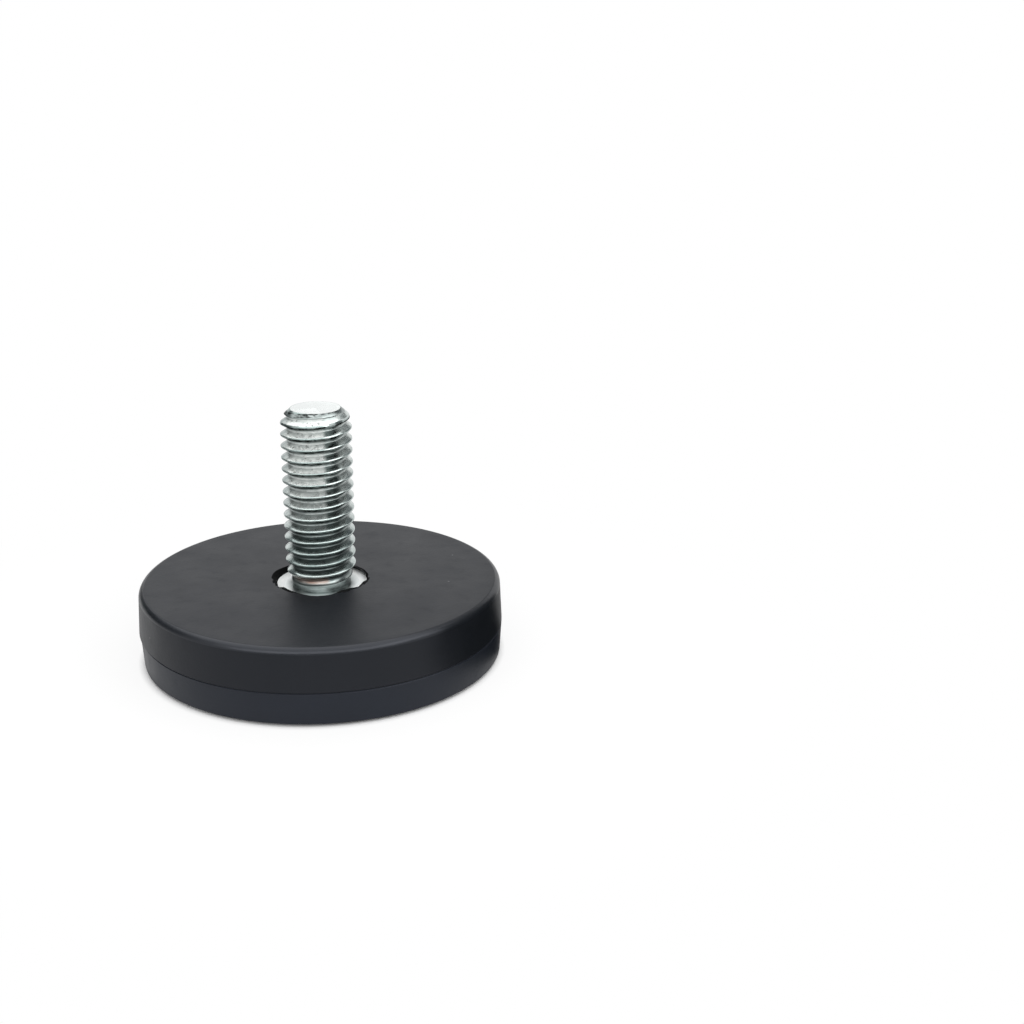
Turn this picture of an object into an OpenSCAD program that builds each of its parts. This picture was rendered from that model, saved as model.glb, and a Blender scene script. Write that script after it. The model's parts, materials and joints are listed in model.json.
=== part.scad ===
// Rubber-covered magnetic mount with a threaded stud.
// It stands on its magnet face: the origin is the centre of that face and +Z runs up the stud.

/* [Body] */
// Diameter of the rubber body
body_d = 31; // [30:0.5:36]
// Height of the rubber body, from the magnet face to the face round the stud
body_h = 6.6; // [6.2:0.1:8]
// Rounding of the top edge
edge_r = 0.5; // [0.2:0.05:0.8]
// Height of the seam between the two rubber shells
seam_h = 2.9; // [2.2:0.1:3.4]
// How far the lower shell's wall stands back from the upper shell's
seam_step = 0.1; // [0:0.05:0.4]
// How far the lower shell's wall was moulded off centre
seam_shift = 0.1; // [0:0.05:0.3]
// How far both walls lean in from the seam to their far edges, so that the shells leave the mould
wall_draft = 0.15; // [0:0.05:0.3]
// Chamfer of both shells' edges at the seam
seam_edge = 0.1; // [0.05:0.05:0.25]

/* [Magnet face] */
// Width of the sloping ring round the flat of the magnet face
rim_w = 2; // [1:0.1:2.6]
// Rise of that ring from the flat to the outer edge
rim_rise = 0.2; // [0.05:0.05:0.4]
// Rounding of the outer edge
foot_r = 0.15; // [0.05:0.05:0.3]

/* [Rubber shells] */
// Thickness of the side wall
wall_t = 1.9; // [1.4:0.1:2.4]
// Thickness of the rubber over the back plate
skin_t = 0.5; // [0.3:0.05:0.7]
// Diameter of the hole round the stud
hole_d = 8.2; // [7:0.1:10]
// Clearance between the rubber and each piece that it holds
seat_gap = 0.1; // [0.05:0.05:0.15]

/* [Back plate] */
// Thickness of the steel plate
plate_t = 2; // [1.5:0.1:2.4]
// Rounding of the plate's upper edge, from the stamping
plate_edge = 0.3; // [0.1:0.05:0.6]

/* [Stud] */
// Nominal diameter of the thread
thread_d = 6; // [5.5:0.5:7]
// Pitch of the thread
pitch = 1; // [0.75:0.05:1.25]
// Depth of the thread's grooves
groove_depth = 0.6; // [0.4:0.05:0.65]
// Width of the floor of the thread's grooves
root_w = 0.25; // [0.1:0.01:0.3]
// Width of the thread's crests
crest_w = 0.13; // [0.1:0.01:0.2]
// Length of the stud above the rubber
stud_len = 15; // [10:0.5:30]
// Diameter of the stud's flat end
end_d = 4.2; // [3:0.1:4.6]
// Height of the chamfer at the stud's end
end_h = 0.9; // [0.4:0.1:1.5]
// Diameter of the plain neck below the thread
neck_d = 5; // [4.2:0.1:5.4]
// Height of the neck above the back plate
neck_len = 0.7; // [0.3:0.1:1.2]
// Height of the run-out where the thread fades into the neck
runout_h = 0.4; // [0.2:0.1:0.8]
// Diameter of the stud's flat head, under the plate
head_d = 7.6; // [7.2:0.2:9]
// Thickness of the head
head_t = 1.2; // [0.8:0.1:1.6]
// How much wider than the thread the stud's shank is, where it is pressed into the plate
shank_over = 0.4; // [0.2:0.05:0.6]
// Clearance of the shank in the plate's bore
bore_gap = 0.02; // [0.02:0.01:0.1]

/* [Magnets] */
// Diameter of each disc magnet
magnet_d = 7; // [5:0.5:8]
// Thickness of each disc magnet
magnet_t = 3; // [2:0.1:3.4]
// Chamfer of the magnets' edges
magnet_edge = 0.2; // [0.1:0.05:0.4]
// Distance of the magnets from the plate's edge
magnet_inset = 1; // [0.4:0.1:1.4]

/* [Hidden] */
$fn = 96;
magnet_count = 6;
// How far a cut or a joined solid runs past the face it meets
cut = 1;

// Radii of the two shells, and of the cavity that the plate lies in
body_r = body_d / 2;
lower_r = body_r - seam_step;
cavity_r = body_r - wall_t;
flat_r = lower_r - rim_w;
hole_r = hole_d / 2;

// The plate fills the cavity, its bore holds the stud's shank, and the magnets hang under its edge
plate_r = cavity_r - seat_gap;
shank_r = (thread_d + shank_over) / 2;
bore_r = shank_r + bore_gap;
magnet_r = plate_r - magnet_inset - magnet_d / 2;

// Heights of the stack: rubber over the plate, plate, magnets, rubber of the magnet face
plate_top = body_h - skin_t;
plate_z = plate_top - plate_t;
magnet_z = plate_z - magnet_t;
head_z = plate_z - head_t;
spigot_z = seam_h - cut;
stud_top = body_h + stud_len;
neck_top = plate_top + neck_len;

// Colours of the finishes
rubber = "#3a3b3f";
zinc = "#b9c4c2";
nickel = "#c9c6bf";

// Half section of a disc from z to z + h, with its upper edge rounded and its wall leaning in by draft
module rounded_disc_section(r, z, h, round, draft = 0) {
  top_r = r - draft;
  translate([0, z]) polygon([[0, 0], [r, 0], [top_r, h - round], [top_r - round, h], [0, h]]);
  translate([top_r - round, z + h - round]) circle(round);
}

// Half section of the chamfer that a shell of outside radius r has at the seam
module seam_chamfer_section(r) {
  translate([r, seam_h]) rotate(45) square(seam_edge * sqrt(2), center = true);
}

// Half section of the upper shell: an inverted cup with a hole for the stud
module upper_shell_section() {
  difference() {
    rounded_disc_section(body_r, seam_h, body_h - seam_h, edge_r, wall_draft);
    seam_chamfer_section(body_r);
    translate([-cut, seam_h - cut]) square([cavity_r + cut, plate_top - seam_h + cut]);
    translate([-cut, seam_h]) square([hole_r + cut, body_h]);
  }
}

module upper_shell() {
  color(rubber) rotate_extrude() upper_shell_section();
}

// Half section of the lower shell's outside: flat face, sloping ring, rounded edge and wall up to the seam
module lower_shell_section() {
  edge_z = rim_rise + foot_r;
  edge_x = lower_r - wall_draft;
  difference() {
    union() {
      polygon([
        [0, 0],
        [flat_r, 0],
        [edge_x - foot_r, rim_rise],
        [edge_x, edge_z],
        [lower_r, seam_h],
        [0, seam_h]
      ]);
      translate([edge_x - foot_r, edge_z]) circle(foot_r);
    }
    seam_chamfer_section(lower_r);
  }
}

// The lower shell plugs into the upper one, with a pocket for each magnet and a well for the stud's head
module lower_shell() {
  color(rubber) difference() {
    union() {
      translate([seam_shift, 0, 0]) rotate_extrude() lower_shell_section();
      translate([0, 0, spigot_z]) cylinder(r = plate_r, h = plate_z - spigot_z);
    }
    for (i = [1 : magnet_count]) at_magnet(i) cylinder(d = magnet_d + 2 * seat_gap, h = magnet_t + cut);
    translate([0, 0, head_z - seat_gap]) cylinder(d = head_d + 2 * seat_gap, h = head_t + cut);
  }
}

// Stamped plate that carries the stud and closes the magnets' field behind them
module back_plate() {
  color(zinc) rotate_extrude() difference() {
    rounded_disc_section(plate_r, plate_z, plate_t, plate_edge);
    translate([-cut, plate_z - cut]) square([bore_r + cut, plate_t + 2 * cut]);
  }
}

// Ring that cuts one groove of the thread, with the middle of the groove at z = 0
module thread_groove() {
  thread_r = thread_d / 2;
  root_r = thread_r - groove_depth;
  mouth_w = pitch - crest_w;
  rotate_extrude() polygon([
    [root_r, -root_w / 2],
    [thread_r, -mouth_w / 2],
    [thread_r + cut, -mouth_w / 2],
    [thread_r + cut, mouth_w / 2],
    [thread_r, mouth_w / 2],
    [root_r, root_w / 2]
  ]);
}

// Stud pressed into the plate's bore from below, up to its head; its thread is drawn as rings, one pitch apart
module stud() {
  thread_r = thread_d / 2;
  neck_r = neck_d / 2;
  thread_z = neck_top + runout_h;
  thread_top = stud_top - end_h;
  groove_count = floor((thread_top - thread_z) / pitch);
  color(zinc) difference() {
    union() {
      translate([0, 0, head_z]) cylinder(d = head_d, h = head_t);
      translate([0, 0, head_z]) cylinder(r = shank_r, h = plate_top - head_z);
      translate([0, 0, plate_top]) cylinder(r = neck_r, h = neck_len);
      translate([0, 0, neck_top]) cylinder(r1 = neck_r, r2 = thread_r, h = runout_h);
      translate([0, 0, thread_z]) cylinder(r = thread_r, h = thread_top - thread_z);
      translate([0, 0, thread_top]) cylinder(r1 = thread_r, r2 = end_d / 2, h = end_h);
    }
    for (i = [1 : groove_count]) translate([0, 0, thread_top - (i - 0.5) * pitch]) thread_groove();
  }
}

// Place of magnet i, on the ring of magnets
module at_magnet(i) {
  rotate((i - 0.5) * 360 / magnet_count) translate([magnet_r, 0, magnet_z]) children();
}

// Disc magnet with both edges chamfered
module magnet(i) {
  r = magnet_d / 2;
  color(nickel) at_magnet(i) rotate_extrude() polygon([
    [0, 0],
    [r - magnet_edge, 0],
    [r, magnet_edge],
    [r, magnet_t - magnet_edge],
    [r - magnet_edge, magnet_t],
    [0, magnet_t]
  ]);
}

upper_shell();
lower_shell();
back_plate();
stud();
for (i = [1 : magnet_count]) magnet(i);
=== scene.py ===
# %% [markdown]
# # A rubber-covered magnetic mount
# The object is a round magnet in a moulded rubber jacket. A threaded steel stud stands in a hole on top, and
# the flat face below holds to steel. The solid model is loaded first, as a fixed frame in metres. Each later
# step makes one finish or one visible piece in that frame, so nothing has to be fitted afterwards.

# %% Load the solid model
import json
import math

import bmesh
import bpy
from mathutils import Matrix, Vector, noise


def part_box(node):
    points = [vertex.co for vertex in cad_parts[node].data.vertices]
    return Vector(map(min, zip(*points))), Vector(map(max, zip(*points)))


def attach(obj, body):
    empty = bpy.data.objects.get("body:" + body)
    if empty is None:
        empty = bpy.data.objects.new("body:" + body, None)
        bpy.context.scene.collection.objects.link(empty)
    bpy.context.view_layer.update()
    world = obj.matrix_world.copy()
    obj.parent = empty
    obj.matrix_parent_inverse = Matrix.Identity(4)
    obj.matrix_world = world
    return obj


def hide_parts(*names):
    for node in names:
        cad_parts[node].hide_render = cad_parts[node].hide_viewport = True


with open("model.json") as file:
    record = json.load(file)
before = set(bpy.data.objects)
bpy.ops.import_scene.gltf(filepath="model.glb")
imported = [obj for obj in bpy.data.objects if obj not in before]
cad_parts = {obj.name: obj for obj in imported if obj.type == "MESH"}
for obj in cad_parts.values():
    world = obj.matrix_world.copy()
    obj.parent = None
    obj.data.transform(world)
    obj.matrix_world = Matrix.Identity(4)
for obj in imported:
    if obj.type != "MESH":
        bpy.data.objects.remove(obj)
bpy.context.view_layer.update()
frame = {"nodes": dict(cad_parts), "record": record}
MM = 0.001

# %% [markdown]
# ## Sizes
# A dressed piece has to lie exactly where its solid lies. The solids' own boxes give most of the sizes, and
# the record's stud mount gives the thread's radius. Only what a box can't tell is written here, in millimetres.
# Two sizes are matched to the photograph more finely than in the solids: the rounding of the top edge, and the
# lower wall, which is a hair wider and so stands less far off centre.

# %% Read the sizes from the solids
upper_low, upper_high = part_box("upper_shell")
lower_low, lower_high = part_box("lower_shell")
plate_low, plate_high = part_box("back_plate")
stud_low, stud_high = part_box("stud")
magnet_low, magnet_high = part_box("magnet_1")
stud_mount = next(m for m in frame["record"]["mounts"] if m["name"] == "stud")

LOWER_WIDER = 0.045 * MM
BODY_R = (upper_high.x - upper_low.x) / 2
BODY_TOP = upper_high.z
SEAM_Z = upper_low.z
LOWER_R = (lower_high.y - lower_low.y) / 2 + LOWER_WIDER
LOWER_X = lower_high.x - LOWER_R
PLATE_R = plate_high.x
PLATE_TOP = plate_high.z
PLATE_Z = plate_low.z
STUD_TOP = stud_high.z
HEAD_R = stud_high.x
HEAD_Z = stud_low.z
THREAD_R = stud_mount["dims"]["r_mm"] * MM

EDGE_R = 0.58 * MM
WALL_DRAFT = 0.15 * MM
SEAM_EDGE = 0.1 * MM
SEAT_GAP = 0.1 * MM
HOLE_R = 4.1 * MM
SHANK_R = 3.21 * MM
print("body radius and height, mm:", round(BODY_R / MM, 2), round(BODY_TOP / MM, 2))

# %% [markdown]
# ## Camera
# The photograph was matched by fitting a plain pinhole camera to the body's outline, the seam and the stud.
# The fit gives four facts: how far the camera looks down, its slight roll, its focal length in pixels, and the
# pixel and depth at which the centre of the magnet face lies. The camera's place follows from those.

# %% Set up the camera
IMAGE_PX = 1024
FOCAL_PX = 1466.0
LOOK_DOWN = math.radians(18.596)
ROLL = math.radians(0.357)
ORIGIN_PX = (324.28, 647.36)
ORIGIN_DEPTH = 128.16 * MM
SENSOR_MM = 36.0
NEAREST = 10 * MM

forward = Vector((0, math.cos(LOOK_DOWN), -math.sin(LOOK_DOWN)))
level_right = Vector((1, 0, 0))
level_up = level_right.cross(forward)
right = math.cos(ROLL) * level_right + math.sin(ROLL) * level_up
up = math.cos(ROLL) * level_up - math.sin(ROLL) * level_right
across = (ORIGIN_PX[0] - IMAGE_PX / 2) * ORIGIN_DEPTH / FOCAL_PX
above = (IMAGE_PX / 2 - ORIGIN_PX[1]) * ORIGIN_DEPTH / FOCAL_PX

camera = bpy.data.objects.new("camera", bpy.data.cameras.new("camera"))
camera.data.sensor_width = SENSOR_MM
camera.data.lens = FOCAL_PX * SENSOR_MM / IMAGE_PX
camera.data.clip_start = NEAREST
camera_axes = Matrix((right, up, -forward)).transposed().to_4x4()
camera.matrix_world = Matrix.Translation(-across * right - above * up - ORIGIN_DEPTH * forward) @ camera_axes
bpy.context.scene.collection.objects.link(camera)
bpy.context.scene.camera = camera
print("camera at, mm:", [round(v / MM, 1) for v in camera.matrix_world.translation])

# %% [markdown]
# ## Small helpers for node trees
# Colours are written as the hex values that a colour picker shows, and one function turns them into the linear
# values that a shader needs. A second function adds a node, sets its options, and fills or links its inputs.
# Two more start a material and turn a size in millimetres into a texture's scale.

# %% Define the helpers
MATH = "ShaderNodeMath"
MIX = "ShaderNodeMix"
NOISE = "ShaderNodeTexNoise"
RANGE = "ShaderNodeMapRange"
# A Mix node has several sockets of one name, so those for colours are taken by number
MIX_A, MIX_B, MIX_OUT = 6, 7, 2


def linear(hex_colour):
    """Linear RGBA of an sRGB hex colour such as #3a3b3f."""
    channels = [int(hex_colour[i:i + 2], 16) / 255 for i in (1, 3, 5)]
    return [c / 12.92 if c <= 0.04045 else ((c + 0.055) / 1.055) ** 2.4 for c in channels] + [1.0]


def add(tree, kind, inputs=None, **settings):
    """Adds a node with its settings. An input is a value, an output, or a node whose first output is linked."""
    made = tree.nodes.new(kind)
    for key, value in settings.items():
        setattr(made, key, value)
    for key, value in (inputs or {}).items():
        if isinstance(value, bpy.types.Node):
            value = value.outputs[0]
        if isinstance(value, bpy.types.NodeSocket):
            tree.links.new(value, made.inputs[key])
        else:
            made.inputs[key].default_value = value
    return made


def new_finish(name):
    """A material with its node tree and its main shader."""
    material = bpy.data.materials.new(name)
    material.use_nodes = True
    return material, material.node_tree, material.node_tree.nodes["Principled BSDF"]


def per_size(millimetres):
    """Texture scale at which one feature is about that wide."""
    return 1 / (millimetres * MM)


print("helpers ready, such as linear white:", linear("#ffffff"))

# %% [markdown]
# ## Moulded rubber
# The jacket is nitrile rubber, pressed in a spark-eroded mould. To the eye that is a dark grey, nearly matt
# skin with a faint cloudiness, a very fine grain, light scuffs and a few pale dust specks. The lower half is a
# tone lighter, and handling has rubbed the top edge smoother, so it shines more. One dark colour with a high
# roughness would be simpler, but then the broad top face looks like card. So the cloudiness drives both colour
# and roughness, the scuffs add to the roughness, and the grain is bump. Torn flash is matt and has no skin.

# %% Make the rubber
CLOUD_MM = 5
SPECK_MM = 1.6
SCUFF_MM = 1.3
# The real grain is under 0.1 mm wide, so it is drawn coarser to show at all
GRAIN_MM = 0.25
GRAIN_DEPTH = 0.02 * MM
CELLS_WITHOUT_SPECK = 0.82
DUST_SHARE = 0.35
CLOUD_ROUGHNESS = 0.1
SCUFF_ROUGHNESS = 0.03


def moulded_rubber(name, dark, light, smoothest=0.42, mirror=0.3):
    """Rubber between two tones, with its lowest roughness and the strength of its shine."""
    material, tree, shader = new_finish(name)
    place = add(tree, "ShaderNodeTexCoord").outputs["Object"]
    cloud = add(tree, NOISE, {"Vector": place, "Scale": per_size(CLOUD_MM), "Detail": 5, "Roughness": 0.6})
    colour = add(tree, MIX, {0: cloud, MIX_A: linear(dark), MIX_B: linear(light)}, data_type="RGBA")

    cells = add(tree, "ShaderNodeTexVoronoi",
                {"Vector": place, "Scale": per_size(SPECK_MM), "Randomness": 1.0})
    near = add(tree, RANGE, {"Value": cells.outputs["Distance"],
                             "From Min": 0.03, "From Max": 0.07, "To Min": 1, "To Max": 0})
    chance = add(tree, "ShaderNodeSeparateColor", {"Color": cells.outputs["Color"]})
    chosen = add(tree, MATH, {0: chance.outputs["Red"], 1: CELLS_WITHOUT_SPECK}, operation="GREATER_THAN")
    speck = add(tree, MATH, {0: near, 1: chosen}, operation="MULTIPLY")
    dust = add(tree, MATH, {0: speck, 1: DUST_SHARE}, operation="MULTIPLY")
    dusted = add(tree, MIX, {0: dust, MIX_A: colour.outputs[MIX_OUT], MIX_B: linear("#8d8e90")},
                 data_type="RGBA")
    tree.links.new(dusted.outputs[MIX_OUT], shader.inputs["Base Color"])

    gloss = add(tree, RANGE, {"Value": cloud, "From Min": 0.3, "From Max": 0.7,
                              "To Min": smoothest, "To Max": smoothest + CLOUD_ROUGHNESS})
    scuff = add(tree, NOISE, {"Vector": place, "Scale": per_size(SCUFF_MM), "Detail": 3, "Roughness": 0.6})
    scuffs = add(tree, RANGE, {"Value": scuff, "From Min": 0.54, "From Max": 0.7})
    scuffed = add(tree, MATH, {0: scuffs, 1: SCUFF_ROUGHNESS, 2: gloss}, operation="MULTIPLY_ADD")
    tree.links.new(scuffed.outputs[0], shader.inputs["Roughness"])

    grain = add(tree, NOISE, {"Vector": place, "Scale": per_size(GRAIN_MM), "Detail": 3})
    skin = add(tree, "ShaderNodeBump", {"Height": grain, "Strength": 0.35, "Distance": GRAIN_DEPTH})
    tree.links.new(skin.outputs["Normal"], shader.inputs["Normal"])
    shader.inputs["Specular IOR Level"].default_value = mirror
    shader.inputs["Specular Tint"].default_value = linear("#eef3ff")
    return material


upper_rubber = moulded_rubber("moulded nitrile rubber, upper", "#07090d", "#0e1014")
lower_rubber = moulded_rubber("moulded nitrile rubber, lower", "#0f1218", "#171b23")
edge_rubber = moulded_rubber("moulded nitrile rubber, rubbed edge", "#07090d", "#0e1014", 0.3, 0.42)
torn_rubber, _, torn_shader = new_finish("torn nitrile rubber, flash")
torn_shader.inputs["Base Color"].default_value = linear("#0a0b0c")
torn_shader.inputs["Roughness"].default_value = 0.95
torn_shader.inputs["Specular IOR Level"].default_value = 0.1
print("finishes:", [finish.name for finish in (upper_rubber, lower_rubber, edge_rubber, torn_rubber)])

# %% [markdown]
# ## Bright plating
# Stud and plate are steel with a thin zinc layer, passivated to a faint blue, and the magnets are nickel-plated.
# To the eye a plated skin is a bright, slightly cloudy metal with tiny pits, and the stamped plate is so pale
# and satin that it hardly mirrors. One function makes all three, because they differ only in tone and gloss.

# %% Make the plating
PLATING_CLOUD_MM = 0.9
# The real pits are far finer, so they are drawn coarser to show at all
PIT_MM = 0.2
PIT_DEPTH = 0.01 * MM


def plated_metal(name, bright, darker, glossy, satin):
    """Plated metal between two tones and two roughnesses, with what a later step needs to add to it."""
    material, tree, shader = new_finish(name)
    place = add(tree, "ShaderNodeTexCoord").outputs["Object"]
    cloud = add(tree, NOISE, {"Vector": place, "Scale": per_size(PLATING_CLOUD_MM), "Detail": 4})
    colour = add(tree, MIX, {0: cloud, MIX_A: linear(darker), MIX_B: linear(bright)}, data_type="RGBA")
    gloss = add(tree, RANGE, {"Value": cloud, "From Min": 0.3, "From Max": 0.7,
                              "To Min": satin, "To Max": glossy})
    pits = add(tree, NOISE, {"Vector": place, "Scale": per_size(PIT_MM), "Detail": 3})
    skin = add(tree, "ShaderNodeBump", {"Height": pits, "Strength": 0.3, "Distance": PIT_DEPTH})
    tree.links.new(colour.outputs[MIX_OUT], shader.inputs["Base Color"])
    tree.links.new(gloss.outputs["Result"], shader.inputs["Roughness"])
    tree.links.new(skin.outputs["Normal"], shader.inputs["Normal"])
    shader.inputs["Metallic"].default_value = 1.0
    return material, tree, shader, colour, gloss


stud_zinc, stud_tree, stud_shader, stud_colour, stud_gloss = plated_metal(
    "zinc-plated steel, rolled thread", "#ccd4d2", "#b0bab8", 0.14, 0.22)
plate_zinc, _, plate_shader, _, _ = plated_metal(
    "zinc-plated steel, stamped plate", "#ffffff", "#e6ebea", 0.3, 0.4)
plate_shader.inputs["Metallic"].default_value = 0.2
magnet_nickel = plated_metal("nickel-plated neodymium", "#d6d1c7", "#c4bfb4", 0.12, 0.2)[0]
print("finishes:", [finish.name for finish in (stud_zinc, plate_zinc, magnet_nickel)])

# %% [markdown]
# ## Age of the stud, with painted light and shade
# The stud's plating also shows its making and its use, and some light and shade is painted on it. Rolling left
# streaks along the thread, and a painted shadow lies as a dark line under each crest. The upper flanks at one
# side are whitened, partly by a bloom that damp left and partly as a painted reflection of the white
# surroundings. Grime that handling left lies in the roots, together with painted shade under the crests that
# grows towards the bottom. More painted shade darkens the front towards the bottom, the crests on the whitened
# side and the upper left side. The flat end is lighter as a painted highlight, and there is a little rust at the
# neck. A painted picture would have to be fitted to the helix.
# So each mark reads where a point lies: on the thread, by attributes that the thread's mesh carries, and on the
# stud, by its height and its turn round the axis. Ramps between two such values are the plain way to say where.

# %% Find places on the stud
at = {name: add(stud_tree, "ShaderNodeAttribute", attribute_name=name).outputs["Fac"]
      for name in ("thread_height", "underside", "crest_shadow", "end_face", "shank")}
spot = add(stud_tree, "ShaderNodeTexCoord").outputs["Object"]
spot_xyz = add(stud_tree, "ShaderNodeSeparateXYZ", {0: spot})
at["height"] = spot_xyz.outputs["Z"]

# A turn of 0 is at the back, 0.25 at the left, 0.5 in front and 0.75 at the right
ahead = add(stud_tree, MATH, {0: spot_xyz.outputs["Y"], 1: -1.0}, operation="MULTIPLY")
around = add(stud_tree, MATH, {0: spot_xyz.outputs["X"], 1: ahead}, operation="ARCTAN2")
at["turn"] = add(stud_tree, MATH, {0: around, 1: 0.5 / math.pi, 2: 0.5}, operation="MULTIPLY_ADD")

# Each ramp: what it reads, where it starts and ends, and its value there
RAMPS = {
    "side_start": ("turn", 0.3, 0.38, 0, 1),
    "side_end": ("turn", 0.92, 0.82, 0, 1),
    "gap_start": ("turn", 0.55, 0.57, 0, 1),
    "gap_end": ("turn", 0.65, 0.62, 0.65, 1),
    "front_end": ("turn", 0.72, 0.66, 0, 1),
    "left_start": ("turn", 0.08, 0.18, 0, 1),
    "left_end": ("turn", 0.38, 0.3, 0, 0.8),
    "upper": ("height", 11 * MM, 16 * MM, 0, 1),
    "lower": ("height", 17 * MM, 8 * MM, 0.45, 1),
    # Painted shade, darker towards the bottom
    "painted_shade_low": ("height", 16 * MM, 9 * MM, 0, 0.6),
    "above_neck": ("height", 7.3 * MM, 8.3 * MM, 0.1, 1),
    "above_foot": ("height", 8 * MM, 14 * MM, 0.3, 1),
    "rust_top": ("height", 7.7 * MM, 7.2 * MM, 0, 0.45),
    "rust_foot": ("height", 6.8 * MM, 7 * MM, 0, 1),
    # Painted shade on the crests of the upper flanks
    "crest_top": ("thread_height", 0.8, 0.95, 0, 0.6),
    "flanks": ("thread_height", 0.97, 0.8, 0, 1),
    "root": ("thread_height", 0.05, 0.45, 1, 0),
}
for name, (reads, start, end, at_start, at_end) in RAMPS.items():
    at[name] = add(stud_tree, RANGE, {"Value": at[reads], "From Min": start, "From Max": end,
                                      "To Min": at_start, "To Max": at_end})
print("places on the stud:", len(at))

# %% [markdown]
# Wear isn't even, and neither is the painted light and shade, so noise breaks each mark up. What rolling and
# wiping left, and the painted shadow under the crests, is drawn out along the thread, and that noise is
# stretched. What grew there, such as the bloom, together with the painted reflection that goes with it, is round,
# and its grains are about 0.4 mm wide. The noise is turned into a share by a ramp again, so that only its peaks
# show.

# %% Break the marks up
GRAINS = per_size(0.4)
SPECKS = per_size(0.35)
STRETCH = (per_size(3.8), per_size(3.8), per_size(1))

stretched = add(stud_tree, "ShaderNodeMapping", {"Vector": spot, "Scale": STRETCH})
# Each noise: where it lies, its scale, detail and roughness, and the ramp that it goes through
PATTERNS = {
    "streaks": (stretched, 6, 4, 0.65, 0.45, 0.75, 0, 0.4),
    "patches": (stretched, 2.6, 4, 0.5, 0.4, 0.62, 0.6, 1),
    "rust_dashes": (stretched, 4, 5, 0.7, 0.4, 0.6, 0.65, 1),
    # Breaks up the painted shadow under each crest
    "crest_shadow_dashes": (stretched, 4, 5, 0.7, 0.42, 0.56, 0.2, 1),
    "grains": (spot, GRAINS, 2, 0.5, 0.4, 0.62, 0.72, 1),
    "specks": (spot, SPECKS, 3, 0.7, 0.57, 0.66, 0, 0.75),
}
for name, (lies, scale, detail, roughness, start, end, at_start, at_end) in PATTERNS.items():
    pattern = add(stud_tree, NOISE, {"Vector": lies, "Scale": scale, "Detail": detail, "Roughness": roughness})
    at[name] = add(stud_tree, RANGE, {"Value": pattern, "From Min": start, "From Max": end,
                                      "To Min": at_start, "To Max": at_end})
print("patterns:", ", ".join(PATTERNS))

# %% [markdown]
# A mark lies where several places meet, so it is their product, or one place without another. A table says
# that in one line for each, and a loop turns the lines into nodes.

# %% Combine places into marks
MARKS = {
    "gap": ("MULTIPLY", "gap_start", "gap_end"),
    "side_open": ("SUBTRACT", "side_start", "gap"),
    "side": ("MULTIPLY", "side_open", "side_end"),
    "front": ("MULTIPLY", "side_start", "front_end"),
    "left": ("MULTIPLY", "left_start", "left_end"),
    "upper_side": ("MULTIPLY", "upper", "side"),
    # Painted shade: the front darker towards the bottom, the upper crests on the whitened side, and the upper
    # left side
    "painted_shade_flank": ("MULTIPLY", "painted_shade_low", "above_neck"),
    "painted_shade_front": ("MULTIPLY", "painted_shade_flank", "front"),
    "painted_shade_crest": ("MULTIPLY", "crest_top", "upper_side"),
    "painted_shade_left": ("MULTIPLY", "left", "upper"),
    "painted_shade_high": ("MAXIMUM", "painted_shade_crest", "painted_shade_left"),
    "darker": ("MAXIMUM", "painted_shade_front", "painted_shade_high"),
    "streaks_and_painted_shade": ("ADD", "streaks", "darker"),
    # Whitened flanks: partly a white bloom, partly painted reflection of the white surroundings
    "open_flanks": ("SUBTRACT", "flanks", "underside"),
    "whitened_place": ("MULTIPLY", "upper_side", "open_flanks"),
    "bloom_and_painted_reflection": ("MULTIPLY", "whitened_place", "grains"),
    "whitened_specks": ("MULTIPLY", "specks", "whitened_place"),
    # Grime in the roots, and painted shade under the crests that grows towards the bottom
    "hidden": ("MAXIMUM", "root", "underside"),
    "grime_and_shade_place": ("MULTIPLY", "hidden", "lower"),
    "grime_and_painted_shade": ("MULTIPLY", "grime_and_shade_place", "patches"),
    # Painted shadow under each crest, broken up, above the foot and not on the flat end
    "crest_shadow_line": ("MULTIPLY", "crest_shadow", "crest_shadow_dashes"),
    "painted_crest_shadow": ("MULTIPLY", "crest_shadow_line", "above_foot"),
    "crest_shadow_off_end": ("SUBTRACT", "painted_crest_shadow", "end_face"),
    "rust_band": ("MULTIPLY", "rust_top", "rust_foot"),
    "rust_front": ("SUBTRACT", "side_start", "gap_start"),
    "rust_place": ("MULTIPLY", "rust_band", "rust_front"),
    "rust": ("MULTIPLY", "rust_place", "rust_dashes"),
}
for name, (operation, first, second) in MARKS.items():
    at[name] = add(stud_tree, MATH, {0: at[first], 1: at[second]}, operation=operation, use_clamp=True)
print("marks:", len(MARKS))

# %% [markdown]
# The marks are laid over the plating one after another: first the streaks with the painted shade, last the
# lighter flat end, which is a painted highlight, and the clean shank. Most of them also make the skin rougher.
# The whitened flanks are less metal, since the bloom in them is a salt and the rest is painted reflection, and
# the painted shadow under the crests takes away the shine that bare metal has at a flat angle.

# %% Lay the marks on the plating
LAYERS = {
    # Streaks, with the painted shade laid on in the same grey
    "streaks_and_painted_shade": "#748482",
    # Partly a white bloom, partly painted reflection of the white surroundings
    "bloom_and_painted_reflection": "#eaeeeb",
    "whitened_specks": "#3a3a38",
    # Partly grime in the roots, partly painted shade under the crests and towards the bottom
    "grime_and_painted_shade": "#4c5353",
    # Painted shadow: the dark line under each crest
    "painted_crest_shadow": "#161717",
    "rust": "#80543f",
    # Painted highlight: the flat end is lighter than the same plating elsewhere
    "end_face": "#e9edec",
    "shank": "#e8ecec",
}
ROUGHER = {"hidden": 0.14, "painted_shade_crest": 0.15, "painted_shade_front": 0.17, "bloom_and_painted_reflection": 0.12}
# Less metal where the flanks are whitened by the bloom and by the painted reflection
WHITENED_METAL = -0.8

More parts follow.
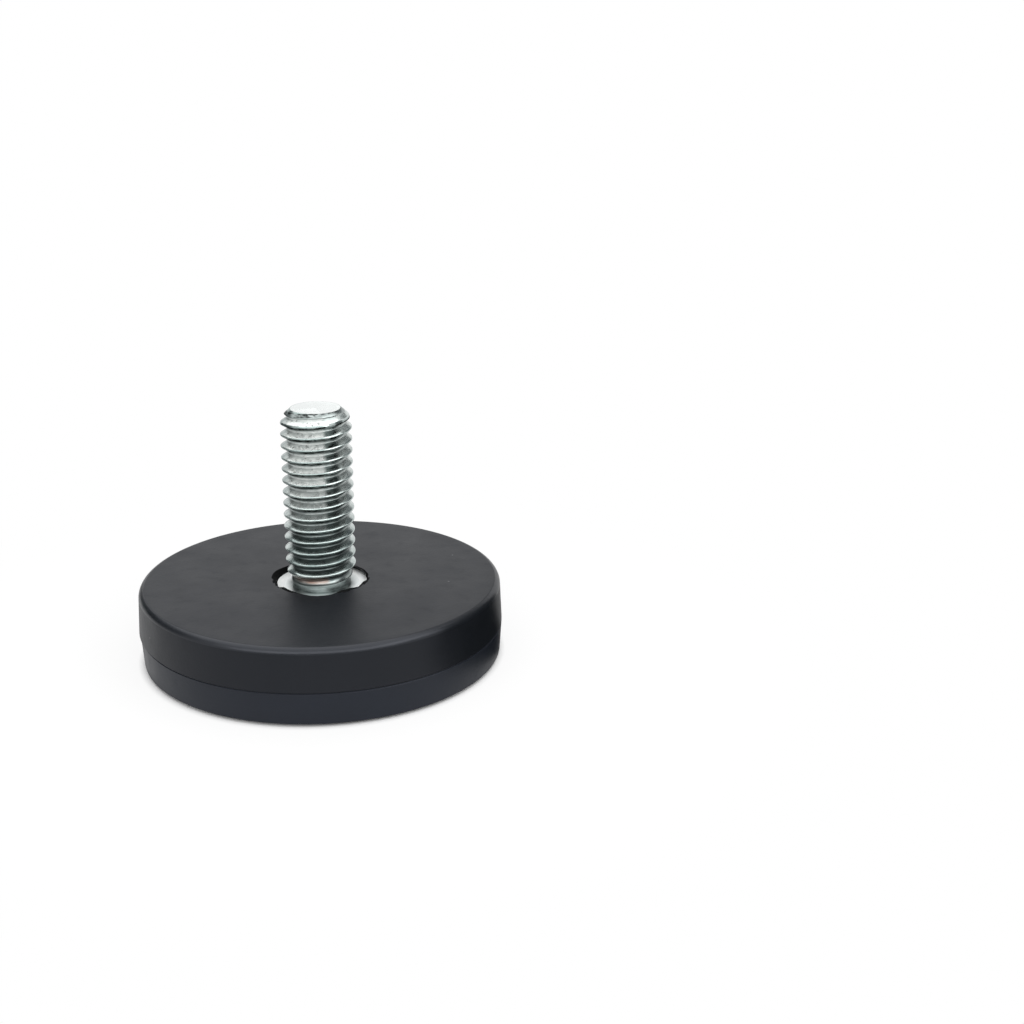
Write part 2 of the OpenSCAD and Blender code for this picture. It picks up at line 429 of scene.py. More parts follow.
for name, tint in LAYERS.items():
    stud_colour = add(stud_tree, MIX, {0: at[name], MIX_A: stud_colour.outputs[MIX_OUT], MIX_B: linear(tint)},
                      data_type="RGBA")
for name, more in ROUGHER.items():
    stud_gloss = add(stud_tree, MATH, {0: at[name], 1: more, 2: stud_gloss}, operation="MULTIPLY_ADD")
metal = add(stud_tree, MATH, {0: at["bloom_and_painted_reflection"], 1: WHITENED_METAL, 2: 1.0}, operation="MULTIPLY_ADD")
# No shine at a flat angle in the painted shadow under the crests
flat_shine = add(stud_tree, MATH, {0: 1.0, 1: at["crest_shadow_off_end"]}, operation="SUBTRACT", use_clamp=True)
stud_tree.links.new(stud_colour.outputs[MIX_OUT], stud_shader.inputs["Base Color"])
stud_tree.links.new(stud_gloss.outputs[0], stud_shader.inputs["Roughness"])
stud_tree.links.new(metal.outputs[0], stud_shader.inputs["Metallic"])
stud_tree.links.new(flat_shine.outputs[0], stud_shader.inputs["Specular Tint"])
print("stud's finish:", len(stud_tree.nodes), "nodes")

# %% [markdown]
# ## Turned shapes
# The two rubber shells are shapes of revolution. A profile is listed from point to point and spun in even
# steps, which keeps every ring of points round and lets a small function push single points afterwards.

# %% Define the lathe
SEGMENTS = 256
SHARP = math.radians(40)
SAME_POINT = 0.0005 * MM


def arc(centre, radius, start, end, steps):
    """Points (r, z) of an arc, with its angles in degrees."""
    angles = [math.radians(start + (end - start) * i / steps) for i in range(steps + 1)]
    return [(centre[0] + radius * math.cos(a), centre[1] + radius * math.sin(a)) for a in angles]


def link_mesh(name, bm, *finishes):
    """Closes a mesh's doubles, turns its faces outwards, marks its sharp edges and makes it an object."""
    bmesh.ops.remove_doubles(bm, verts=bm.verts, dist=SAME_POINT)
    bmesh.ops.recalc_face_normals(bm, faces=bm.faces)
    for face in bm.faces:
        face.smooth = True
    for edge in bm.edges:
        edge.smooth = edge.calc_face_angle(0) < SHARP
    mesh = bpy.data.meshes.new(name)
    bm.to_mesh(mesh)
    bm.free()
    for finish in finishes:
        mesh.materials.append(finish)
    made = bpy.data.objects.new(name, mesh)
    bpy.context.scene.collection.objects.link(made)
    return made


def lathe(profile, shape, closed):
    """A mesh spun from profile points (r, z). shape(r, z, angle) gives each point's place."""
    bm = bmesh.new()
    angles = [2 * math.pi * i / SEGMENTS for i in range(SEGMENTS)]
    rings = [[bm.verts.new(shape(r, z, a)) for a in angles] for r, z in profile]
    pairs = list(zip(rings, rings[1:] + rings[:1])) if closed else list(zip(rings, rings[1:]))
    for low, high in pairs:
        for i in range(SEGMENTS):
            j = (i + 1) % SEGMENTS
            bm.faces.new((low[i], low[j], high[j], high[i]))
    return bm


def smooth(t):
    """Soft step from 0 to 1."""
    t = min(1.0, max(0.0, t))
    return t * t * (3 - 2 * t)


print("lathe steps:", SEGMENTS)

# %% [markdown]
# ## Upper shell
# The upper half of the jacket is an inverted cup of rubber over the steel plate. Its top edge is rounded, and
# the top face swells and sinks by a few hundredths of a millimetre. The hole round the stud was trimmed by
# hand, so it isn't round, its wall leans, and small flaps of torn flash reach in. A texture could darken the
# flaps, but they are part of the outline. So two tables give the radius of the hole's upper edge and of its
# foot, and the rings next to the hole are pushed to them.

# %% Shape the upper shell
TOP_R = BODY_R - WALL_DRAFT
FLAT_R = TOP_R - EDGE_R
# Radius in mm at an angle in degrees
HOLE_EDGE = {
    0: 3.9, 12: 3.95, 30: 3.86, 47: 3.78, 75: 4.0, 130: 4.1, 151: 4.24, 160: 4.33, 172: 4.3, 185: 4.18,
    195: 3.8, 206: 3.89, 213: 4.03, 217: 4.0, 219: 3.66, 224: 3.64, 234: 3.74, 244: 3.85, 257: 4.13,
    265: 4.29, 273: 4.32, 281: 4.25, 288: 4.14, 294: 3.92, 302: 3.58, 309: 3.54, 318: 3.62, 323: 3.8,
    327: 3.97, 332: 3.86, 340: 3.75, 347: 3.76, 351: 3.93,
}
HOLE_FOOT = {
    0: 3.87, 16: 3.91, 27: 4.02, 48: 4.21, 57: 4.4, 105: 4.3, 141: 4.05, 162: 3.93, 190: 3.75, 220: 4.1,
    330: 4.1,
}
FLAP_REACH = 1.2 * MM
RAGGED = 0.03 * MM
RAGS = 9.0
RAG_LEVEL = 0.3
SWELL = 0.025 * MM
SWELL_SCALE = 6 * MM


def radius_at(table, angle):
    """Radius at an angle, between the entries of a table of degrees and millimetres."""
    at_degrees = math.degrees(angle) % 360
    low = max(stop for stop in table if stop <= at_degrees)
    high = min((stop for stop in table if stop > at_degrees), default=360)
    step = table[high % 360] - table[low]
    rag = noise.noise(Vector((math.cos(angle), math.sin(angle), RAG_LEVEL)) * RAGS)
    return (table[low] + step * (at_degrees - low) / (high - low)) * MM + RAGGED * rag


def upper_shape(r, z, angle):
    """Place of a profile point, pushed to the trimmed hole and, on the top face, to the swell."""
    from_edge = max(0.0, r - HOLE_R)
    depth = min(1.0, max(0.0, (BODY_TOP - z) / (BODY_TOP - PLATE_TOP)))
    edge_r = radius_at(HOLE_EDGE, angle)
    wall_r = edge_r + (radius_at(HOLE_FOOT, angle) - edge_r) * depth
    r += max(0.0, 1 - from_edge / FLAP_REACH) ** 2 * (wall_r - HOLE_R)
    point = Vector((r * math.cos(angle), r * math.sin(angle), z))
    if z > PLATE_TOP and r < FLAT_R:
        fade = min(1.0, (FLAT_R - r) / EDGE_R)
        point.z -= SWELL * fade * (0.5 + 0.5 * noise.noise(point / SWELL_SCALE))
    return point


print("hole radius in front, mm:", round(radius_at(HOLE_EDGE, -math.pi / 2) / MM, 2))

# %% [markdown]
# The profile runs from the seam up the drafted wall, round the top edge, across the top face and down the hole.
# Rings lie closer together near the hole, where the flaps are. Each face then gets its finish by its place: the
# rubbed upper part of the edge, the trimmed and torn hole, or the plain skin.

# %% Make the upper shell
EDGE_STEPS = 12
LIP_R = 0.08 * MM
LIP_STEPS = 4
LIP_RINGS = (0.9, 0.65, 0.45, 0.3, 0.2, 0.1)
LIP_ZONE = 1 * MM
TOP_RINGS = 14
RUBBED_R = TOP_R - 0.7 * EDGE_R
RUBBED_Z = BODY_TOP - 0.9 * EDGE_R
TORN_OVER = 0.06 * MM
FLASH_R = 4.15 * MM
PLAIN, TORN, RUBBED = 0, 1, 2


def finish_of(face):
    """Slot of a face: the rubbed edge, the trimmed hole with the flash inside its true circle, or plain."""
    middle = face.calc_center_median()
    out = math.hypot(middle.x, middle.y)
    if out > RUBBED_R and middle.z > RUBBED_Z:
        return RUBBED
    angle = math.atan2(middle.y, middle.x)
    torn_r = radius_at(HOLE_EDGE, angle) + TORN_OVER
    if angle < 0:
        torn_r = max(torn_r, FLASH_R)
    return TORN if out < torn_r else PLAIN


cavity_r = PLATE_R + SEAT_GAP
lip_start = HOLE_R + LIP_R
top_span = FLAT_R - lip_start - LIP_ZONE
upper_profile = [(cavity_r, SEAM_Z), (BODY_R - SEAM_EDGE, SEAM_Z), (BODY_R, SEAM_Z + SEAM_EDGE)]
upper_profile += arc((FLAT_R, BODY_TOP - EDGE_R), EDGE_R, 0, 90, EDGE_STEPS)
upper_profile += [(FLAT_R - top_span * i / TOP_RINGS, BODY_TOP) for i in range(1, TOP_RINGS + 1)]
upper_profile += [(lip_start + away * MM, BODY_TOP) for away in LIP_RINGS]
upper_profile += arc((lip_start, BODY_TOP - LIP_R), LIP_R, 90, 180, LIP_STEPS)
upper_profile += [(HOLE_R, (BODY_TOP + PLATE_TOP) / 2), (HOLE_R, PLATE_TOP), (cavity_r, PLATE_TOP)]
upper_mesh = lathe(upper_profile, upper_shape, closed=True)
for face in upper_mesh.faces:
    face.material_index = finish_of(face)
upper_shell = link_mesh("upper_rubber_shell", upper_mesh, upper_rubber, torn_rubber, edge_rubber)
print(upper_shell.name, len(upper_shell.data.polygons), "faces")

# %% [markdown]
# ## Lower shell
# The lower half plugs into the upper one and carries the magnet face. That face is flat in the middle, draws
# back by a soft step near the edge, and has a small round gate mark where the rubber entered the mould. All of
# that is turned, so it is one more profile for the lathe. Only the wall was moulded a little off centre.

# %% Spin the lower shell
RIM_W = 2 * MM
RIM_RISE = 0.2 * MM
FOOT_R = 0.15 * MM
FOOT_STEPS = 6
STEP_W = 1.2 * MM
STEP_RISE = 0.85 * RIM_RISE
STEP_RINGS = 8
FLAT_RINGS = (0.2, 0.4, 0.6, 0.8)
GATE_R = 1.2 * MM
GATE_DEPTH = 0.06 * MM
# Points of the gate mark, as shares of its radius and of its depth
GATE_POINTS = ((0.0, 1.0), (0.6, 1.0), (0.85, 0.5), (1.0, 0.0))


def lower_shape(r, z, angle):
    """Place of a profile point: the outside is off centre, and the plug in the upper shell is not."""
    x = LOWER_X if z < SEAM_Z or r > PLATE_R + SEAT_GAP else 0.0
    return Vector((x + r * math.cos(angle), r * math.sin(angle), z))


flat_r = LOWER_R - RIM_W
foot_z = RIM_RISE + FOOT_R
lower_profile = [(GATE_R * out, GATE_DEPTH * deep) for out, deep in GATE_POINTS]
lower_profile += [(flat_r * share, 0.0) for share in FLAT_RINGS]
for i in range(STEP_RINGS + 1):
    share = i / STEP_RINGS
    lower_profile.append((flat_r + STEP_W * share, STEP_RISE * smooth(share)))
lower_profile += arc((LOWER_R - WALL_DRAFT - FOOT_R, foot_z), FOOT_R, -90, 0, FOOT_STEPS)
lower_profile += [(LOWER_R, SEAM_Z - SEAM_EDGE), (LOWER_R - SEAM_EDGE, SEAM_Z)]
lower_profile += [(PLATE_R, SEAM_Z), (PLATE_R, PLATE_Z), (0.0, PLATE_Z)]
lower_shell = link_mesh("lower_rubber_shell", lathe(lower_profile, lower_shape, closed=False), lower_rubber)
print(lower_shell.name, len(lower_shell.data.polygons), "faces before the pockets")

# %% [markdown]
# The six pockets for the magnets lie on a circle, the plain case for Geometry Nodes: a mesh circle gives the
# points, one cutter is set on each point, and a boolean takes them all out of the shell together. By hand that
# would be six equal cuts. The sizes come in through named inputs, and the result becomes a plain mesh. Three
# small functions do what every such tree needs: its inputs, its end, and that last step.

# %% Define what every tree needs
def new_tree(name, sizes):
    """A Geometry Nodes tree with a geometry input, a material input and one input for each named size."""
    tree = bpy.data.node_groups.new(name, "GeometryNodeTree")
    tree.interface.new_socket("Geometry", in_out="INPUT", socket_type="NodeSocketGeometry")
    tree.interface.new_socket("Geometry", in_out="OUTPUT", socket_type="NodeSocketGeometry")
    for size in sizes:
        tree.interface.new_socket(size, in_out="INPUT", socket_type="NodeSocketFloat")
    tree.interface.new_socket("Finish", in_out="INPUT", socket_type="NodeSocketMaterial")
    return tree, add(tree, "NodeGroupInput").outputs


def end_tree(tree, geometry, finish):
    """Ends a tree as the export needs it: real geometry with its material."""
    real = add(tree, "GeometryNodeRealizeInstances", {"Geometry": geometry})
    painted = add(tree, "GeometryNodeSetMaterial", {"Geometry": real, "Material": finish})
    add(tree, "NodeGroupOutput", {0: painted})


def plain_mesh(start, tree, values):
    """The mesh that a tree makes from an object, as a bmesh, with the object removed."""
    modifier = start.modifiers.new(tree.name, "NODES")
    modifier.node_group = tree
    for item in tree.interface.items_tree:
        if item.in_out == "INPUT" and item.name in values:
            modifier[item.identifier] = values[item.name]
    bpy.context.view_layer.update()
    evaluated = start.evaluated_get(bpy.context.evaluated_depsgraph_get())
    mesh = bpy.data.meshes.new_from_object(evaluated)
    start.modifiers.remove(modifier)
    bpy.data.objects.remove(start)
    bm = bmesh.new()
    bm.from_mesh(mesh)
    bpy.data.meshes.remove(mesh)
    return bm


print("tree functions ready")

# %% [markdown]
# The well for the stud's head is one more cutter, in the middle. Every cutter stands on the floor of its pocket
# and reaches past the open side, so that no two faces lie in one plane.

# %% Cut the pockets
CUT_OVER = 1 * MM
CUTTER_SIDES = 96
POCKETS = 6

pocket_sizes = ("Ring radius", "Pocket radius", "Pocket floor", "Well radius", "Well floor", "Depth")
pocket_tree, given = new_tree("magnet_pockets", pocket_sizes)
half = add(pocket_tree, MATH, {0: given["Depth"], 1: 0.5}, operation="MULTIPLY")
middle = {}
cutter = {}
for name in ("Pocket", "Well"):
    level = add(pocket_tree, MATH, {0: given[f"{name} floor"], 1: half}, operation="ADD")
    middle[name] = add(pocket_tree, "ShaderNodeCombineXYZ", {"Z": level})
    cutter[name] = add(pocket_tree, "GeometryNodeMeshCylinder",
                       {"Vertices": CUTTER_SIDES, "Radius": given[f"{name} radius"], "Depth": given["Depth"]})
ring = add(pocket_tree, "GeometryNodeMeshCircle", {"Vertices": POCKETS, "Radius": given["Ring radius"]})
turned = add(pocket_tree, "GeometryNodeTransform",
             {"Geometry": ring, "Translation": middle["Pocket"], "Rotation": (0, 0, math.pi / POCKETS)})
pockets = add(pocket_tree, "GeometryNodeInstanceOnPoints", {"Points": turned, "Instance": cutter["Pocket"]})
well = add(pocket_tree, "GeometryNodeTransform",
           {"Geometry": cutter["Well"], "Translation": middle["Well"]})
shell = given["Geometry"]
for cut in (add(pocket_tree, "GeometryNodeRealizeInstances", {"Geometry": pockets}), well):
    shell = add(pocket_tree, "GeometryNodeMeshBoolean", {"Mesh 1": shell, "Mesh 2": cut},
                operation="DIFFERENCE", solver="EXACT")
end_tree(pocket_tree, shell, given["Finish"])

magnet_middle = (magnet_low + magnet_high) / 2
lower_mesh = plain_mesh(lower_shell, pocket_tree, {
    "Ring radius": math.hypot(magnet_middle.x, magnet_middle.y),
    "Pocket radius": (magnet_high.x - magnet_low.x) / 2 + SEAT_GAP,
    "Pocket floor": magnet_low.z,
    "Well radius": HEAD_R + SEAT_GAP,
    "Well floor": HEAD_Z - SEAT_GAP,
    "Depth": magnet_high.z - magnet_low.z + CUT_OVER,
    "Finish": lower_rubber,
})
lower_shell = link_mesh("lower_rubber_shell", lower_mesh, lower_rubber)
print(lower_shell.name, len(lower_shell.data.polygons), "faces with", POCKETS, "pockets")

# %% [markdown]
# ## Stud
# The stud is an M6 bolt blank with a rolled thread: rounded roots, narrow polished crests, one turn every
# millimetre. A thread is a rule, so Geometry Nodes make it from a flat grid. Across the grid runs the angle, up
# it runs the height, and each row climbs by one pitch in one turn, so the rows follow the helix and the crest
# stays a clean line. A helix swept along a curve would be shorter to write, but its faces would cut into each
# other at the root.

# %% Lay out the helix
PITCH = 1.0 * MM
CREST_AT = 20.42 * MM - PITCH / 4
COLUMNS = 128
ROWS_PER_TURN = 28
TURNS = math.ceil((STUD_TOP - PLATE_TOP) / PITCH) + 1

thread_sizes = ("Crest radius", "Root radius", "Neck radius", "Pitch", "Crest height", "Bottom", "Top",
                "Neck top", "Run-out end", "End radius", "Lead radius")
thread_tree, given = new_tree("rolled_thread", thread_sizes)
sheet = add(thread_tree, "GeometryNodeMeshGrid",
            {"Size X": 1, "Size Y": 1, "Vertices X": COLUMNS + 1, "Vertices Y": ROWS_PER_TURN * TURNS + 1})
flat = add(thread_tree, "ShaderNodeSeparateXYZ", {0: add(thread_tree, "GeometryNodeInputPosition")})
turn = add(thread_tree, MATH, {0: flat.outputs["X"], 1: 0.5}, operation="ADD")
climb = add(thread_tree, MATH, {0: turn, 1: given["Pitch"]}, operation="MULTIPLY")
row = add(thread_tree, MATH, {0: flat.outputs["Y"], 1: TURNS, 2: TURNS / 2 - 1}, operation="MULTIPLY_ADD")
row_z = add(thread_tree, MATH, {0: row, 1: given["Pitch"], 2: given["Bottom"]}, operation="MULTIPLY_ADD")
helix_z = add(thread_tree, MATH, {0: row_z, 1: climb}, operation="ADD")
kept_z = add(thread_tree, "ShaderNodeClamp", {"Value": helix_z, "Min": given["Bottom"], "Max": given["Top"]})

# Place between one crest, 0, and the next crest above it, 1
level_z = add(thread_tree, MATH, {0: kept_z, 1: climb}, operation="SUBTRACT")
over_crest = add(thread_tree, MATH, {0: level_z, 1: given["Crest height"]}, operation="SUBTRACT")
pitches = add(thread_tree, MATH, {0: over_crest, 1: given["Pitch"]}, operation="DIVIDE")
phase = add(thread_tree, MATH, {0: pitches}, operation="FRACT")
print("grid:", COLUMNS, "columns,", ROWS_PER_TURN * TURNS, "rows")

# %% [markdown]
# The radius comes from the place between root and crest: two straight flanks, with both corners rounded as the
# dies leave them. At the top a bevel and a flatter lead-in cut the thread away, and at the foot the thread
# fades into the plain neck.

# %% Shape the thread
CREST_R = THREAD_R - 0.03 * MM
ROOT_R = THREAD_R - 0.61 * MM
NECK_R = 2.5 * MM
NECK_TOP = PLATE_TOP + 0.2 * MM
RUNOUT_END = NECK_TOP + 1.7 * MM
FLANK_SLOPE = 1.36
FLANK_START = -0.225
ROOT_ROUND = 0.14
CREST_ROUND = 0.1
END_R = 2.1 * MM
BEVEL_SLOPE = 1.1
LEAD_R = 2.6 * MM
LEAD_SLOPE = 0.28

# Height from root, 0, to crest, 1, with rounded corners
swing = add(thread_tree, MATH, {0: phase, 1: 2.0, 2: -1.0}, operation="MULTIPLY_ADD")
rise = add(thread_tree, MATH, {0: swing}, operation="ABSOLUTE")
slope = add(thread_tree, MATH, {0: rise, 1: FLANK_SLOPE, 2: FLANK_START}, operation="MULTIPLY_ADD")
rooted = add(thread_tree, MATH, {0: slope, 1: 0.0, 2: ROOT_ROUND}, operation="SMOOTH_MAX")
flank = add(thread_tree, MATH, {0: rooted, 1: 1.0, 2: CREST_ROUND}, operation="SMOOTH_MIN")
depth = add(thread_tree, MATH, {0: given["Crest radius"], 1: given["Root radius"]}, operation="SUBTRACT")
threaded = add(thread_tree, MATH, {0: flank, 1: depth, 2: given["Root radius"]}, operation="MULTIPLY_ADD")

# The thread fades into the neck below, and two cones cut it away above
grown = add(thread_tree, RANGE,
            {"Value": kept_z, "From Min": given["Neck top"], "From Max": given["Run-out end"]},
            interpolation_type="SMOOTHSTEP")
over_neck = add(thread_tree, MATH, {0: threaded, 1: given["Neck radius"]}, operation="SUBTRACT")
faded = add(thread_tree, MATH, {0: grown, 1: over_neck, 2: given["Neck radius"]}, operation="MULTIPLY_ADD")
below = add(thread_tree, MATH, {0: given["Top"], 1: kept_z}, operation="SUBTRACT")
bevel = add(thread_tree, MATH, {0: below, 1: BEVEL_SLOPE, 2: given["End radius"]}, operation="MULTIPLY_ADD")
lead_in = add(thread_tree, MATH, {0: below, 1: LEAD_SLOPE, 2: given["Lead radius"]}, operation="MULTIPLY_ADD")
end_cone = add(thread_tree, MATH, {0: bevel, 1: lead_in}, operation="MINIMUM")
radius = add(thread_tree, MATH, {0: faded, 1: end_cone}, operation="MINIMUM")
print("radius formula:", len(thread_tree.nodes), "nodes so far")

# %% [markdown]
# The same numbers mark the mesh for its finish: how high a point stands on the thread, and how far it belongs to
# the underside or to the band of painted shadow under the crest. Then the sheet is wound up with its seam at the
# back, and its edges are welded.

# %% Wind the thread up
# Shares of the pitch at which a mark starts, is full, starts to fade and ends
UNDERSIDE = (0.5, 0.6, 0.9, 0.97)
# Band of painted shadow: the dark line under each crest
CREST_SHADOW = (0.63, 0.72, 0.93, 0.98)
WELD = 0.002 * MM

marks = {"thread_height": add(thread_tree, MATH, {0: flank, 1: grown}, operation="MULTIPLY")}
for name, (first, full, fade, last) in {"underside": UNDERSIDE, "crest_shadow": CREST_SHADOW}.items():
    starts = add(thread_tree, RANGE, {"Value": phase, "From Min": first, "From Max": full})
    ends = add(thread_tree, RANGE, {"Value": phase, "From Min": last, "From Max": fade})
    band = add(thread_tree, MATH, {0: starts, 1: ends}, operation="MULTIPLY")
    marks[name] = add(thread_tree, MATH, {0: band, 1: grown}, operation="MULTIPLY")
marked = sheet.outputs["Mesh"]
for name, value in marks.items():
    marked = add(thread_tree, "GeometryNodeStoreNamedAttribute",
                 {"Geometry": marked, "Name": name, "Value": value}, data_type="FLOAT", domain="POINT")

angle = add(thread_tree, MATH, {0: turn, 1: 2 * math.pi, 2: math.pi / 2}, operation="MULTIPLY_ADD")
around = {"Z": kept_z}
for axis, operation in (("X", "COSINE"), ("Y", "SINE")):
    share = add(thread_tree, MATH, {0: angle}, operation=operation)
    around[axis] = add(thread_tree, MATH, {0: radius, 1: share}, operation="MULTIPLY")
wound = add(thread_tree, "ShaderNodeCombineXYZ", around)
bent = add(thread_tree, "GeometryNodeSetPosition", {"Geometry": marked, "Position": wound})
welded = add(thread_tree, "GeometryNodeMergeByDistance", {"Geometry": bent, "Distance": WELD})
end_tree(thread_tree, welded, given["Finish"])

blank = bpy.data.objects.new("stud_blank", bpy.data.meshes.new("stud_blank"))
bpy.context.scene.collection.objects.link(blank)
stud_mesh = plain_mesh(blank, thread_tree, {
    "Crest radius": CREST_R, "Root radius": ROOT_R, "Neck radius": NECK_R, "Pitch": PITCH,
    "Crest height": CREST_AT, "Bottom": PLATE_TOP, "Top": STUD_TOP, "Neck top": NECK_TOP,
    "Run-out end": RUNOUT_END, "End radius": END_R, "Lead radius": LEAD_R, "Finish": stud_zinc,
})
print("thread:", TURNS, "rows of turns,", len(stud_mesh.faces), "faces")

# %% [markdown]
# The thread is still an open tube. Its top is closed by a flat end. Below, the wider shank that is pressed into
# the plate and the flat head under it are drawn on from the tube's lower rim, so the whole stud is one closed
# mesh. The end and the shank get marks of their own: the end is lighter as a painted highlight, and the shank is
# clean.

# %% Close the stud
END_LIP = 0.06 * MM
SAME_LEVEL = 0.01 * MM


def rim_at(bm, z):
    """Open edges at one height."""
    return [e for e in bm.edges if e.is_boundary and all(abs(v.co.z - z) < SAME_LEVEL for v in e.verts)]


def draw_on(bm, edges, radius, z, mark):
    """Draws a rim on to a new radius and height, marks the new rim's points and gives its edges."""
    drawn = bmesh.ops.extrude_edge_only(bm, edges=edges)["geom"]
    for vert in (v for v in drawn if isinstance(v, bmesh.types.BMVert)):
        flat_length = math.hypot(vert.co.x, vert.co.y)
        vert.co = Vector((vert.co.x * radius / flat_length, vert.co.y * radius / flat_length, z))
        vert[mark] = 1.0
    return [e for e in drawn if isinstance(e, bmesh.types.BMEdge) and e.is_boundary]


end_mark = stud_mesh.verts.layers.float.new("end_face")
shank_mark = stud_mesh.verts.layers.float.new("shank")
rim = draw_on(stud_mesh, rim_at(stud_mesh, STUD_TOP), END_R - END_LIP, STUD_TOP, end_mark)
bmesh.ops.holes_fill(stud_mesh, edges=rim, sides=0)
rim = rim_at(stud_mesh, PLATE_TOP)
for rim_r, rim_z in ((SHANK_R, PLATE_TOP), (SHANK_R, PLATE_Z), (HEAD_R, PLATE_Z), (HEAD_R, HEAD_Z)):
    rim = draw_on(stud_mesh, rim, rim_r, rim_z, shank_mark)
bmesh.ops.holes_fill(stud_mesh, edges=rim, sides=0)
open_edges = sum(1 for e in stud_mesh.edges if not e.is_manifold)
stud = link_mesh("threaded_stud", stud_mesh, stud_zinc)
print(stud.name, len(stud.data.polygons), "faces,", open_edges, "open edges")

# %% [markdown]
# ## Plate and magnets
# The steel plate under the stud and the six magnets are plain shapes that the solids already have. They stay as
# they are, and only their finish is changed.

# %% Finish the plate and the magnets
plain_finishes = {f"magnet_{i}": magnet_nickel for i in range(1, POCKETS + 1)}
plain_finishes["back_plate"] = plate_zinc
for name, finish in plain_finishes.items():
    frame["nodes"][name].data.materials.clear()
    frame["nodes"][name].data.materials.append(finish)
print("finished:", ", ".join(plain_finishes))

# %% [markdown]
# ## Floor
# The mount stands on a white paper sweep. Near the object the floor is a pale matt surface that takes the shadow,
# and further out it turns into plain white, which the camera and the reflections see at a strength of 1. Right
# under the rim it stays plain paper, so that the contact line is dark. A floor that is lit everywhere would
# need far stronger lamps to look as white, and they would wash the shadow out.

# %% Lay the floor
FLOOR_SIZE = 3.0
FLOOR_Z = -0.02 * MM
FADE_FROM, FADE_TO = 18 * MM, 45 * MM
UNDER_FROM, UNDER_TO = 15.2 * MM, 15.8 * MM
NEAR_WHITE = 0.85
PAPER = (0.93, 0.93, 0.93, 1)
WHITE = (1, 1, 1, 1)


def flat_sheet(name, corners, finish):
    """A sheet with four corners and one finish."""
    mesh = bpy.data.meshes.new(name)
    mesh.from_pydata(corners, [], [(0, 1, 2, 3)])
    mesh.materials.append(finish)
    made = bpy.data.objects.new(name, mesh)
    bpy.context.scene.collection.objects.link(made)
    return made


sweep = bpy.data.materials.new("white sweep, matt paper")
sweep.use_nodes = True
tree = sweep.node_tree
tree.nodes.clear()
place = add(tree, "ShaderNodeTexCoord").outputs["Object"]
distance = add(tree, "ShaderNodeVectorMath", {0: place}, operation="LENGTH").outputs["Value"]
far = add(tree, RANGE, {"Value": distance, "From Min": FADE_FROM, "From Max": FADE_TO},
          interpolation_type="SMOOTHSTEP")
whiter = add(tree, MATH, {0: far, 1: 1 - NEAR_WHITE, 2: NEAR_WHITE}, operation="MULTIPLY_ADD")
open_floor = add(tree, RANGE, {"Value": distance, "From Min": UNDER_FROM, "From Max": UNDER_TO})
lit = add(tree, MATH, {0: whiter, 1: open_floor}, operation="MULTIPLY")
ray = add(tree, "ShaderNodeLightPath").outputs
seen = add(tree, MATH, {0: ray["Is Camera Ray"], 1: ray["Is Glossy Ray"]}, operation="MAXIMUM")
share = add(tree, MATH, {0: lit, 1: seen}, operation="MULTIPLY")
paper = add(tree, "ShaderNodeBsdfDiffuse", {"Color": PAPER})
white = add(tree, "ShaderNodeEmission", {"Color": WHITE, "Strength": 1.0})
blend = add(tree, "ShaderNodeMixShader", {0: share, 1: paper.outputs[0], 2: white.outputs[0]})
add(tree, "ShaderNodeOutputMaterial", {"Surface": blend})

reach = FLOOR_SIZE / 2
floor_corners = [(reach * x, reach * y, FLOOR_Z) for x, y in ((-1, -1), (1, -1), (1, 1), (-1, 1))]
floor = flat_sheet("floor", floor_corners, sweep)
print("floor, m:", FLOOR_SIZE)

# %% [markdown]
# ## Light
# Three softboxes light the mount: a broad one overhead, a low one in front and a small one at the right. White
# surroundings fill the rest and are what the metal mirrors. In plain white surroundings dark rubber and bright
# metal lose their edges. So a few dark felt cards stand round the mount, as in a photographer's studio. Only
# reflections see them: they draw the dark bands on the stud and shade the wall at the right.

# %% Light the mount
AMBIENT = 0.1
# Each lamp: its place and size in metres, and its power in watts
LAMPS = {
    "overhead softbox": ((0.0, 0.07, 0.45), (0.9, 0.68), 2.6),
    "front softbox": ((0.0, -0.5, 0.32), (1.3, 0.38), 3.8),
    "right softbox": ((0.42, -0.17, 0.34), (0.34, 0.24), 0.67),
}
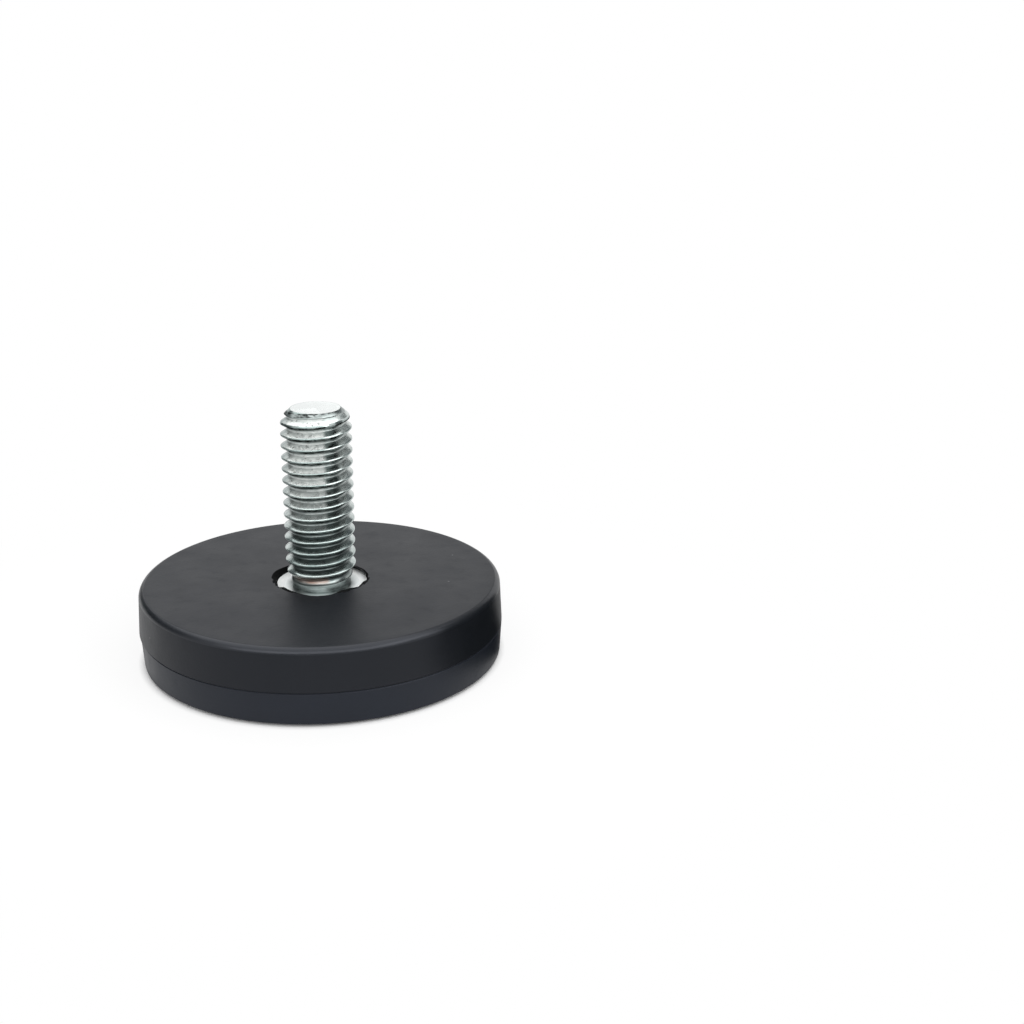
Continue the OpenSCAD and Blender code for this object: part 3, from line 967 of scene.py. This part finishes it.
# Each card: its four corners in millimetres
CARDS = {
    "right": ((16.2, -13, 0.1), (16.2, 1, 0.1), (27, 6, 28), (27, -8, 28)),
    "floor_right": ((15.8, -12, 0.05), (30, -18, 0.05), (30, 2, 0.05), (15.8, 0, 0.05)),
    "front": ((-400, -420, 0), (400, -420, 0), (400, -420, 110), (-400, -420, 110)),
    "left": ((-100, -20, 9), (-55, 65, 9), (-55, 65, 70), (-100, -20, 70)),
    "back_right": ((52, 30, 38), (16, 58, 38), (16, 58, 90), (52, 30, 90)),
    "back_left": ((-40, 75, 0.5), (-8, 88, 0.5), (-8, 88, 6), (-40, 75, 6)),
}

felt, _, felt_shader = new_finish("dark felt")
felt_shader.inputs["Base Color"].default_value = linear("#333c3f")
for name, corners in CARDS.items():
    card = flat_sheet(f"card_{name}", [Vector(corner) * MM for corner in corners], felt)
    card.visible_camera = False
    card.visible_diffuse = False
    card.visible_shadow = False

for name, (stands, size, watts) in LAMPS.items():
    lamp = bpy.data.objects.new(name, bpy.data.lights.new(name, "AREA"))
    lamp.data.energy = watts
    lamp.data.shape = "RECTANGLE"
    lamp.data.size, lamp.data.size_y = size
    facing = Vector(stands).to_track_quat("Z", "Y").to_matrix().to_4x4()
    lamp.matrix_world = Matrix.Translation(stands) @ facing
    bpy.context.scene.collection.objects.link(lamp)

world = bpy.data.worlds.new("white surroundings")
world.use_nodes = True
bpy.context.scene.world = world
tree = world.node_tree
tree.nodes.clear()
ray = add(tree, "ShaderNodeLightPath").outputs
mirrored = add(tree, MATH, {0: ray["Is Glossy Ray"], 1: ray["Is Transmission Ray"]}, operation="MAXIMUM")
seen = add(tree, MATH, {0: ray["Is Camera Ray"], 1: mirrored}, operation="MAXIMUM")
level = add(tree, MATH, {0: seen, 1: 1 - AMBIENT, 2: AMBIENT}, operation="MULTIPLY_ADD")
sky = add(tree, "ShaderNodeBackground", {"Color": WHITE, "Strength": level})
add(tree, "ShaderNodeOutputWorld", {"Surface": sky})
bpy.context.scene.view_settings.view_transform = "Standard"

# %% [markdown]
# ## Pieces and their solids
# Every new piece is tied to the one rigid body, and the solid that it replaces is hidden.

# %% Tie the pieces to the model
for piece, node, finish in (
    (upper_shell, "upper_shell", "rubber"),
    (lower_shell, "lower_shell", "rubber"),
    (stud, "stud", "zinc_plated_stud"),
):
    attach(piece, "root")
    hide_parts(node)
bpy.context.view_layer.update()
